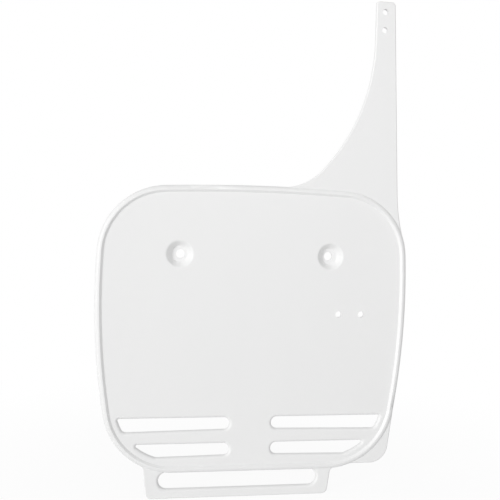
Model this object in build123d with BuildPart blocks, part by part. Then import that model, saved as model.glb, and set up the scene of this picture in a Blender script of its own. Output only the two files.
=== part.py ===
from build123d import *
from math import atan2, degrees, sqrt
import os

os.makedirs("parts", exist_ok=True)

# Racing number board for the front of an off-road motorbike, one moulding in white plastic.
# X runs across the board, Z runs up it, and its front looks along -Y.
# The origin is midway between the two bolt holes, on the rear seats of their dishes.

# Wall, and the breaking of its free edges in front, in millimetres as everything here
wall = 2.6
edge_break = 0.7
slot_edge_radius = 2.3

# Crest line of the raised rim, measured from the bolt holes
rim_width = 233.8
rim_top = 49.5
rim_drop = 163.2
rim_widest = -31.5
rim_side_radius = 560.0
rim_top_radius = 1400.0
rim_top_corner = 49.0
rim_bottom_corner = 50.5

# Section of the rim, across its crest line
rim_height = 1.5
rim_depth = 5.0
rim_reach = 3.5
rim_land = 0.4
rim_slope_width = 1.6
rim_groove_in = 0.6
rim_lap = 0.4
skirt_wall = 2.2

# Bolt dishes, sunk into the face, with their holes a little inside their centres
bolt_spacing = 114.8
bolt_hole = 6.6
dish_spacing = 116.4
dish_width = 20.0
dish_floor_width = 12.0
dish_depth = 4.4
dish_lip_radius = 2.0
dish_floor = 2.6

# Two holes for a strap or a hose clip
clip_hole = 4.8
clip_spacing = 18.0
clip_inset = 41.9
clip_drop = 44.8

# Four vents above the board's lower edge, two to a row
vent_height = 9.1
vent_flare = 1.6
vent_pitch = 20.0
vent_rise = 9.3
vent_web = 32.6
vent_web_shift = -1.1
vent_margin = 6.4
vent_end_flat = 0.4
vent_tip_radius = 1.2
vent_heel_radius = 4.0

# Loop below the lower edge, nearer to the left side
loop_left_inset = 34.35
loop_right_inset = 53.15
loop_taper = 3.0
loop_drop = 23.1
loop_lap = 6.0
loop_corner = 4.5
loop_root = 4.0
loop_side = 11.8
loop_bar = 7.3

# Flat corner that squares off the lower right of the sheet
corner_start = 101.5
corner_rise = 0.3
corner_radius = 14.5
corner_root = 8.0

# Strap arm that rises from the upper right
arm_height = 148.1
arm_tip_width = 14.8
arm_tip_inset = 13.15
arm_lean = 0.0475
arm_knee_height = 61.2
arm_gusset_foot = 81.7
arm_sweep_radius = 147.0
arm_foot_radius = 42.0
arm_root_radius = 145.0
arm_inner_tip_radius = 1.8
arm_outer_tip_radius = 3.0
arm_hole = 4.6
arm_hole_spacing = 13.8
arm_hole_inset = 6.9
arm_hole_end = 8.1

# Levels, as distances in front of the bolt seats
face_level = dish_floor + dish_depth
back_level = face_level - wall
crest_level = face_level + rim_height
skirt_level = crest_level - rim_depth

half_width = rim_width / 2
side_centre = half_width - rim_side_radius
sheet_reach = rim_reach - rim_lap
rim_radius = rim_reach - rim_land / 2


def rim_line(reach):
    """The crest line grown by a reach: bowed sides and top, straight bottom, rounded corners."""
    with BuildSketch() as line:
        with Locations((-side_centre, rim_widest)):
            Circle(rim_side_radius + reach)
        mirror(about=Plane.YZ, mode=Mode.INTERSECT)
        with Locations((0, rim_top - rim_top_radius)):
            Circle(rim_top_radius + reach, mode=Mode.INTERSECT)
        with Locations((0, -rim_drop - reach)):
            Rectangle(2 * rim_width, 2 * rim_width, align=(Align.CENTER, Align.MIN), mode=Mode.INTERSECT)
        fillet(line.vertices().group_by(Axis.Y)[-1], rim_top_corner + reach)
        fillet(line.vertices().group_by(Axis.Y)[0], rim_bottom_corner + reach)
    return line.sketch


# Lines that follow the crest: the sheet's edge, hidden in the rim's wall, then the rim's own section
sheet_edge = rim_line(sheet_reach)
rim_outside = rim_line(rim_reach)
rim_brow = rim_line(-rim_land / 2)
rim_inside = rim_line(-rim_land / 2 - rim_slope_width - rim_lap / 2)
skirt_inside = rim_line(rim_reach - skirt_wall)
groove_inside = rim_line(-rim_groove_in)
vent_limit = rim_line(-vent_margin)

# Arm: a straight strap on a gusset, its foot buried in the sheet
arm_top = rim_top + arm_height
arm_right = half_width - arm_tip_inset
arm_left = arm_right - arm_tip_width
arm_knee = rim_top + arm_knee_height
arm_foot = half_width - arm_gusset_foot
with BuildSketch() as arm:
    with BuildLine():
        Polyline(
            (arm_left, arm_top),
            (arm_left, arm_knee),
            (arm_foot, rim_top),
            (arm_right + arm_lean * arm_top, 0),
            (arm_right, arm_top),
            close=True,
        )
    make_face()
    fillet(arm.vertices().sort_by_distance((arm_left, arm_knee))[0], arm_sweep_radius)
    fillet(arm.vertices().sort_by_distance((arm_left, arm_top))[0], arm_inner_tip_radius)
    fillet(arm.vertices().sort_by_distance((arm_right, arm_top))[0], arm_outer_tip_radius)

# Flat corner: the sheet's right side runs straight on to a squared-off corner
corner_level = corner_rise - rim_drop
side_fall = rim_widest + corner_start
side_end = side_centre + sqrt((rim_side_radius + sheet_reach) ** 2 - side_fall**2)
side_run = side_fall / (side_end - side_centre)
corner_x = side_end + side_run * (corner_level + corner_start)
with BuildSketch() as flat_corner:
    with BuildLine():
        Polyline(
            (side_end, -corner_start),
            (corner_x, corner_level),
            (0, corner_level),
            (0, -corner_start),
            close=True,
        )
    make_face()
    fillet(flat_corner.vertices().sort_by_distance((corner_x, corner_level))[0], corner_radius)

# Loop: a tapered frame that hangs from the lower edge, its top buried in the sheet
loop_top = -rim_drop
loop_bottom = loop_top - loop_drop
loop_left = loop_left_inset - half_width
loop_right = half_width - loop_right_inset
loop_spread = loop_taper * loop_lap / loop_drop
with BuildSketch() as loop:
    with BuildLine():
        Polyline(
            (loop_left - loop_spread, loop_top + loop_lap),
            (loop_right + loop_spread, loop_top + loop_lap),
            (loop_right - loop_taper, loop_bottom),
            (loop_left + loop_taper, loop_bottom),
            close=True,
        )
    make_face()
    fillet(loop.vertices().group_by(Axis.Y)[0], loop_corner)

# Vents: flared bars whose outer ends follow the rim
vent_sills = [vent_rise - rim_drop + row * vent_pitch for row in range(2)]
with BuildSketch() as vents:
    for sill in vent_sills:
        for side in (-1, 1):
            inner_end = vent_web_shift + side * vent_web / 2
            with BuildLine():
                Polyline(
                    (inner_end, sill),
                    (side * half_width, sill - vent_flare),
                    (side * half_width, sill + vent_height),
                    (inner_end, sill + vent_height),
                    close=True,
                )
            make_face()
    add(vent_limit, mode=Mode.INTERSECT)
    for sill in vent_sills:
        outer = vents.vertices().filter_by(lambda v: abs(v.X) > vent_web)
        fillet(outer.filter_by_position(Axis.Y, sill - vent_flare, sill), vent_heel_radius)
        outer = vents.vertices().filter_by(lambda v: abs(v.X) > vent_web)
        fillet(outer.group_by(lambda v: abs(v.Y - sill - vent_height))[0], vent_tip_radius)
    inner = vents.vertices().filter_by(lambda v: abs(v.X) < vent_web)
    fillet(inner, (vent_height - vent_end_flat) / 2)

# The slot in the loop is closed above by the rim's own wall
slot_head = loop_top - sheet_reach
slot_sill = loop_bottom + loop_bar
with BuildSketch() as loop_slot:
    with Locations(((loop_left + loop_right) / 2, (slot_head + slot_sill) / 2)):
        SlotOverall(loop_right - loop_left - 2 * loop_side, slot_head - slot_sill)

# Outline of the whole sheet, with rounded roots where its parts meet
gusset_run = (arm_left - arm_foot) / arm_knee_height
with BuildSketch() as sheet_outline:
    add(sheet_edge)
    add(flat_corner.sketch)
    corner_ends = sheet_outline.vertices().group_by(lambda v: abs(v.Y - corner_level))[0]
    fillet(corner_ends.sort_by(Axis.X)[0], corner_root)
    add(loop.sketch)
    for root in (loop_left, loop_right):
        meets = (root, loop_top)
        fillet(sheet_outline.vertices().sort_by_distance(meets)[0], loop_root)
    add(arm.sketch)
    meets = (arm_foot + gusset_run * sheet_reach, rim_top + sheet_reach)
    fillet(sheet_outline.vertices().sort_by_distance(meets)[0], arm_foot_radius)
    meets = (arm_right + arm_lean * (arm_top - rim_top / 2), rim_top / 2)
    fillet(sheet_outline.vertices().sort_by_distance(meets)[0], arm_root_radius)
    add(vents.sketch, mode=Mode.SUBTRACT)
    add(loop_slot.sketch, mode=Mode.SUBTRACT)

# Flat sheet, square behind where the mould parts; in front its edge is broken and its slots are rounded
with BuildPart() as sheet:
    with BuildSketch(Plane.XZ.offset(back_level)):
        add(sheet_outline.sketch)
    extrude(amount=wall)
    front = sheet.faces().sort_by(Axis.Y)[0]
    fillet(front.inner_wires().edges(), slot_edge_radius)
    front = sheet.faces().sort_by(Axis.Y)[0]
    chamfer(front.outer_wire().edges(), edge_break)

# Rim: rolled over outside its crest, sloped down to the face inside it
slope_angle = degrees(atan2(rim_slope_width, rim_height))
with BuildPart() as rim:
    with BuildSketch(Plane.XZ.offset(skirt_level)):
        add(rim_outside)
    extrude(amount=rim_depth)
    fillet(rim.faces().sort_by(Axis.Y)[0].edges(), rim_radius)
    with BuildSketch(Plane.XZ.offset(crest_level)):
        add(rim_brow)
    extrude(amount=-rim_height - rim_lap, taper=slope_angle, mode=Mode.SUBTRACT)
    with BuildSketch(Plane.XZ.offset(skirt_level)):
        add(rim_inside)
    extrude(amount=rim_depth, mode=Mode.SUBTRACT)
    with BuildSketch(Plane.XZ.offset(skirt_level)):
        add(skirt_inside)
    extrude(amount=back_level - skirt_level, mode=Mode.SUBTRACT)

# The board: sheet and rim in one, hollowed behind the rim, with its dishes and holes
dish_slope = (dish_width - dish_floor_width) / 2 / dish_depth
dish_angle = degrees(atan2(dish_slope, 1))
seat_radius = dish_floor_width / 2 - dish_slope * dish_floor + wall * sqrt(1 + dish_slope**2)
bolts = [(-bolt_spacing / 2, 0), (bolt_spacing / 2, 0)]
dishes = [(-dish_spacing / 2, 0), (dish_spacing / 2, 0)]
clip_x = half_width - clip_inset
arm_hole_x = arm_left + arm_hole_inset
arm_hole_z = arm_top - arm_hole_end
with BuildPart() as number_board:
    add(sheet.part)
    add(rim.part)
    with BuildSketch(Plane.XZ.offset(back_level)):
        add(skirt_inside)
        add(groove_inside, mode=Mode.SUBTRACT)
    extrude(amount=rim_height, mode=Mode.SUBTRACT)
    with BuildSketch(Plane.XZ):
        with Locations(dishes):
            Circle(seat_radius)
    extrude(amount=back_level, taper=-dish_angle)
    with BuildSketch(Plane.XZ.offset(face_level)):
        with Locations(dishes):
            Circle(dish_width / 2)
    extrude(amount=-dish_depth, taper=dish_angle, mode=Mode.SUBTRACT)
    rounds = number_board.edges().filter_by(GeomType.CIRCLE)
    fillet(rounds.sort_by(lambda e: abs(e.radius - dish_width / 2))[:2], dish_lip_radius)
    with BuildSketch(Plane.XZ):
        with Locations(bolts):
            Circle(bolt_hole / 2)
        with Locations((clip_x - clip_spacing / 2, -clip_drop), (clip_x + clip_spacing / 2, -clip_drop)):
            Circle(clip_hole / 2)
        with Locations((arm_hole_x, arm_hole_z), (arm_hole_x, arm_hole_z - arm_hole_spacing)):
            Circle(arm_hole / 2)
    extrude(amount=face_level, mode=Mode.SUBTRACT)

number_board.part.label = "number_board"
export_step(number_board.part, "parts/number_board.step")
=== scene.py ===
"""Racing number board for an off-road motorbike: one moulding in white plastic, in a pale studio."""

from math import pi, radians

import bpy
from mathutils import Euler, Matrix, Vector


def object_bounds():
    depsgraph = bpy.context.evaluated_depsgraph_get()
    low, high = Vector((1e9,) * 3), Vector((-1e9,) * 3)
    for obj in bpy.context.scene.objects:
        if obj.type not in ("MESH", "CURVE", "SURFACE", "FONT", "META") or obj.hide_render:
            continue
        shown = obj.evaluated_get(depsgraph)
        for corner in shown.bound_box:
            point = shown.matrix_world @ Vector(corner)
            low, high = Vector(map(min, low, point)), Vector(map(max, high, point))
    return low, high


# Places and lengths are in metres, as in the frame, and lamp powers in watts.
# The camera looks at the board's face from its left, a little from above, and leans slightly
CAMERA_AIM = Vector((-0.00506, -0.007, 0.004))
CAMERA_DISTANCE = 0.532
CAMERA_YAW = radians(8.84)
CAMERA_PITCH = radians(2.5)
CAMERA_ROLL = radians(1.51)
CAMERA_LENS_MM = 50.4
SENSOR_MM = 36.0

# White polypropylene, and the marks that a mould leaves on it
PLASTIC_WHITE = (0.87, 0.87, 0.868, 1.0)
PLASTIC_SHADE = (0.85, 0.851, 0.85, 1.0)
PLASTIC_ROUGHNESS = 0.48
PLASTIC_IOR = 1.49
FLOW_SCALE = 22.0
FLOW_STRETCH = (1.0, 1.0, 0.35)
FLOW_DETAIL = 3.0
FLOW_MIDDLE = 0.5
FLOW_ROUGHNESS = 0.08
RIPPLE_SCALE = 120.0
RIPPLE_DETAIL = 1.0
RIPPLE_HEIGHT = 0.00003
GRAIN_SCALE = 2600.0
GRAIN_DETAIL = 2.0
GRAIN_HEIGHT = 0.00002

# Soft light: a box at the left, a little above the board, a weak one in front, and an even room
LEFT_BOX = {"place": (-2.6, -2.05, 0.55), "size": 0.8, "power": 54.5}
FRONT_BOX = {"place": (0.15, -0.7, 0.25), "size": 0.4, "power": 0.76}
ROOM_LIGHT = 0.475

# The floor takes a faint shadow at the board's foot and is plain white further off
FLOOR_COLOUR = (0.9, 0.9, 0.9, 1.0)
FLOOR_SIZE = 40.0
FLOOR_GLOW = 0.92
FLOOR_SHADOW_REACH = 0.45

WHITE = (1.0, 1.0, 1.0, 1.0)

# Places of the colour sockets on a Mix node, whose names are shared by its other kinds
MIX_FIRST = 6
MIX_SECOND = 7
MIX_RESULT = 2


class Value:
    """A number that varies over a surface: maths on it adds the nodes that work it out."""

    def __init__(self, shader, socket):
        self.shader = shader
        self.socket = socket

    def _maths(self, operation, first, second):
        return self.shader.node("ShaderNodeMath", {"operation": operation}, [first, second])

    def __add__(self, other):
        return self._maths("ADD", self, other)

    def __radd__(self, other):
        return self._maths("ADD", other, self)

    def __sub__(self, other):
        return self._maths("SUBTRACT", self, other)

    def __rsub__(self, other):
        return self._maths("SUBTRACT", other, self)

    def __mul__(self, other):
        return self._maths("MULTIPLY", self, other)

    def __rmul__(self, other):
        return self._maths("MULTIPLY", other, self)


class Shader:
    """The node tree of a material or of the world, with its default nodes cleared."""

    def __init__(self, owner):
        owner.use_nodes = True
        self.tree = owner.node_tree
        self.tree.nodes.clear()

    def node(self, kind, settings=None, sockets=None, output=0):
        """Adds a node, sets its settings, then sets or links its sockets, by place or by name."""
        made = self.tree.nodes.new(kind)
        for name, setting in (settings or {}).items():
            setattr(made, name, setting)
        pairs = sockets.items() if isinstance(sockets, dict) else enumerate(sockets or [])
        for key, given in pairs:
            if isinstance(given, Value):
                self.tree.links.new(given.socket, made.inputs[key])
            else:
                made.inputs[key].default_value = given
        return Value(self, made.outputs[output]) if made.outputs else None


def white_plastic():
    """Satin white: faint streaks where the melt flowed, soft ripples and a fine grain."""
    material = bpy.data.materials.new("white_plastic_finish")
    shader = Shader(material)
    place = shader.node("ShaderNodeTexCoord", output="Object")
    along = shader.node("ShaderNodeMapping", {}, {"Vector": place, "Scale": FLOW_STRETCH})
    flow = shader.node(
        "ShaderNodeTexNoise", {}, {"Vector": along, "Scale": FLOW_SCALE, "Detail": FLOW_DETAIL}
    )
    colour = shader.node(
        "ShaderNodeMix",
        {"data_type": "RGBA"},
        {"Factor": flow, MIX_FIRST: PLASTIC_WHITE, MIX_SECOND: PLASTIC_SHADE},
        output=MIX_RESULT,
    )
    roughness = PLASTIC_ROUGHNESS + (flow - FLOW_MIDDLE) * FLOW_ROUGHNESS
    ripple = shader.node(
        "ShaderNodeTexNoise", {}, {"Vector": place, "Scale": RIPPLE_SCALE, "Detail": RIPPLE_DETAIL}
    )
    grain = shader.node(
        "ShaderNodeTexNoise", {}, {"Vector": place, "Scale": GRAIN_SCALE, "Detail": GRAIN_DETAIL}
    )
    height = ripple * RIPPLE_HEIGHT + grain * GRAIN_HEIGHT
    relief = shader.node("ShaderNodeBump", {}, {"Strength": 1.0, "Distance": 1.0, "Height": height})
    surface = shader.node(
        "ShaderNodeBsdfPrincipled",
        {},
        {"Base Color": colour, "Roughness": roughness, "Normal": relief, "IOR": PLASTIC_IOR},
    )
    shader.node("ShaderNodeOutputMaterial", {}, {"Surface": surface})
    return material


def background_rays(shader):
    """1 on the rays that show the background as it looks, and 0 on those that light things by it."""
    camera = shader.node("ShaderNodeLightPath", output="Is Camera Ray")
    glossy = shader.node("ShaderNodeLightPath", output="Is Glossy Ray")
    through = shader.node("ShaderNodeLightPath", output="Is Transmission Ray")
    return camera + glossy + through


def pale_floor():
    """White floor that the camera sees almost shadowless, as on a light table."""
    material = bpy.data.materials.new("pale_floor")
    shader = Shader(material)
    place = shader.node("ShaderNodeTexCoord", output="Object")
    away = shader.node("ShaderNodeVectorMath", {"operation": "LENGTH"}, [place], output="Value")
    clear = shader.node(
        "ShaderNodeMapRange",
        {"interpolation_type": "SMOOTHSTEP"},
        {"Value": away, "From Max": FLOOR_SHADOW_REACH, "To Min": FLOOR_GLOW, "To Max": 1.0},
    )
    matt = shader.node("ShaderNodeBsdfDiffuse", {}, {"Color": FLOOR_COLOUR})
    glow = shader.node("ShaderNodeEmission", {}, {"Color": WHITE, "Strength": 1.0})
    share = background_rays(shader) * clear
    surface = shader.node("ShaderNodeMixShader", {}, [share, matt, glow])
    shader.node("ShaderNodeOutputMaterial", {}, {"Surface": surface})
    return material


def set_room():
    """Even light all round, seen as plain white."""
    world = bpy.data.worlds.new("room")
    bpy.context.scene.world = world
    shader = Shader(world)
    strength = ROOM_LIGHT + background_rays(shader) * (1.0 - ROOM_LIGHT)
    light = shader.node("ShaderNodeBackground", {}, {"Color": WHITE, "Strength": strength})
    shader.node("ShaderNodeOutputWorld", {}, {"Surface": light})


def add_softbox(name, place, size, power):
    """A square area lamp that faces the middle of the board."""
    aim = CAMERA_AIM - Vector(place)
    bpy.ops.object.light_add(type="AREA", location=place, rotation=aim.to_track_quat("-Z", "Y").to_euler())
    lamp = bpy.context.object
    lamp.name = name
    lamp.data.size = size
    lamp.data.energy = power


def add_floor(level):
    """A wide floor at the level of the board's lowest edge."""
    bpy.ops.mesh.primitive_plane_add(size=FLOOR_SIZE, location=(0.0, 0.0, level))
    floor = bpy.context.object
    floor.name = "floor"
    floor.data.materials.append(pale_floor())


def add_camera():
    """A camera that looks at the aim point from the photo's angle, and takes the picture."""
    turn = Euler((pi / 2 - CAMERA_PITCH, 0.0, -CAMERA_YAW)).to_matrix()
    turn = turn @ Matrix.Rotation(CAMERA_ROLL, 3, "Z")
    place = CAMERA_AIM + turn @ Vector((0.0, 0.0, CAMERA_DISTANCE))
    bpy.ops.object.camera_add(location=place, rotation=turn.to_euler())
    camera = bpy.context.object
    camera.data.lens = CAMERA_LENS_MM
    camera.data.sensor_width = SENSOR_MM
    bpy.context.scene.camera = camera


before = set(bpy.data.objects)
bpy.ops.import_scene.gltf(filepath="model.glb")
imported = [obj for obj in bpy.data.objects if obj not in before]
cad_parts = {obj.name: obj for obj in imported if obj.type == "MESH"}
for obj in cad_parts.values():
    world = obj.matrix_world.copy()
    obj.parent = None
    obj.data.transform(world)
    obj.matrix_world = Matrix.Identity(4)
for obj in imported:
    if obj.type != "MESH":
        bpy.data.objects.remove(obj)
bpy.context.view_layer.update()
cad_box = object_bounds()
bpy.ops.object.select_all(action="DESELECT")
bpy.context.scene.view_settings.view_transform = "Standard"

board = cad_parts["number_board"]
board.material_slots[0].material = white_plastic()

add_camera()
add_softbox("left_box", **LEFT_BOX)
add_softbox("front_box", **FRONT_BOX)
set_room()
add_floor(cad_box[0].z)
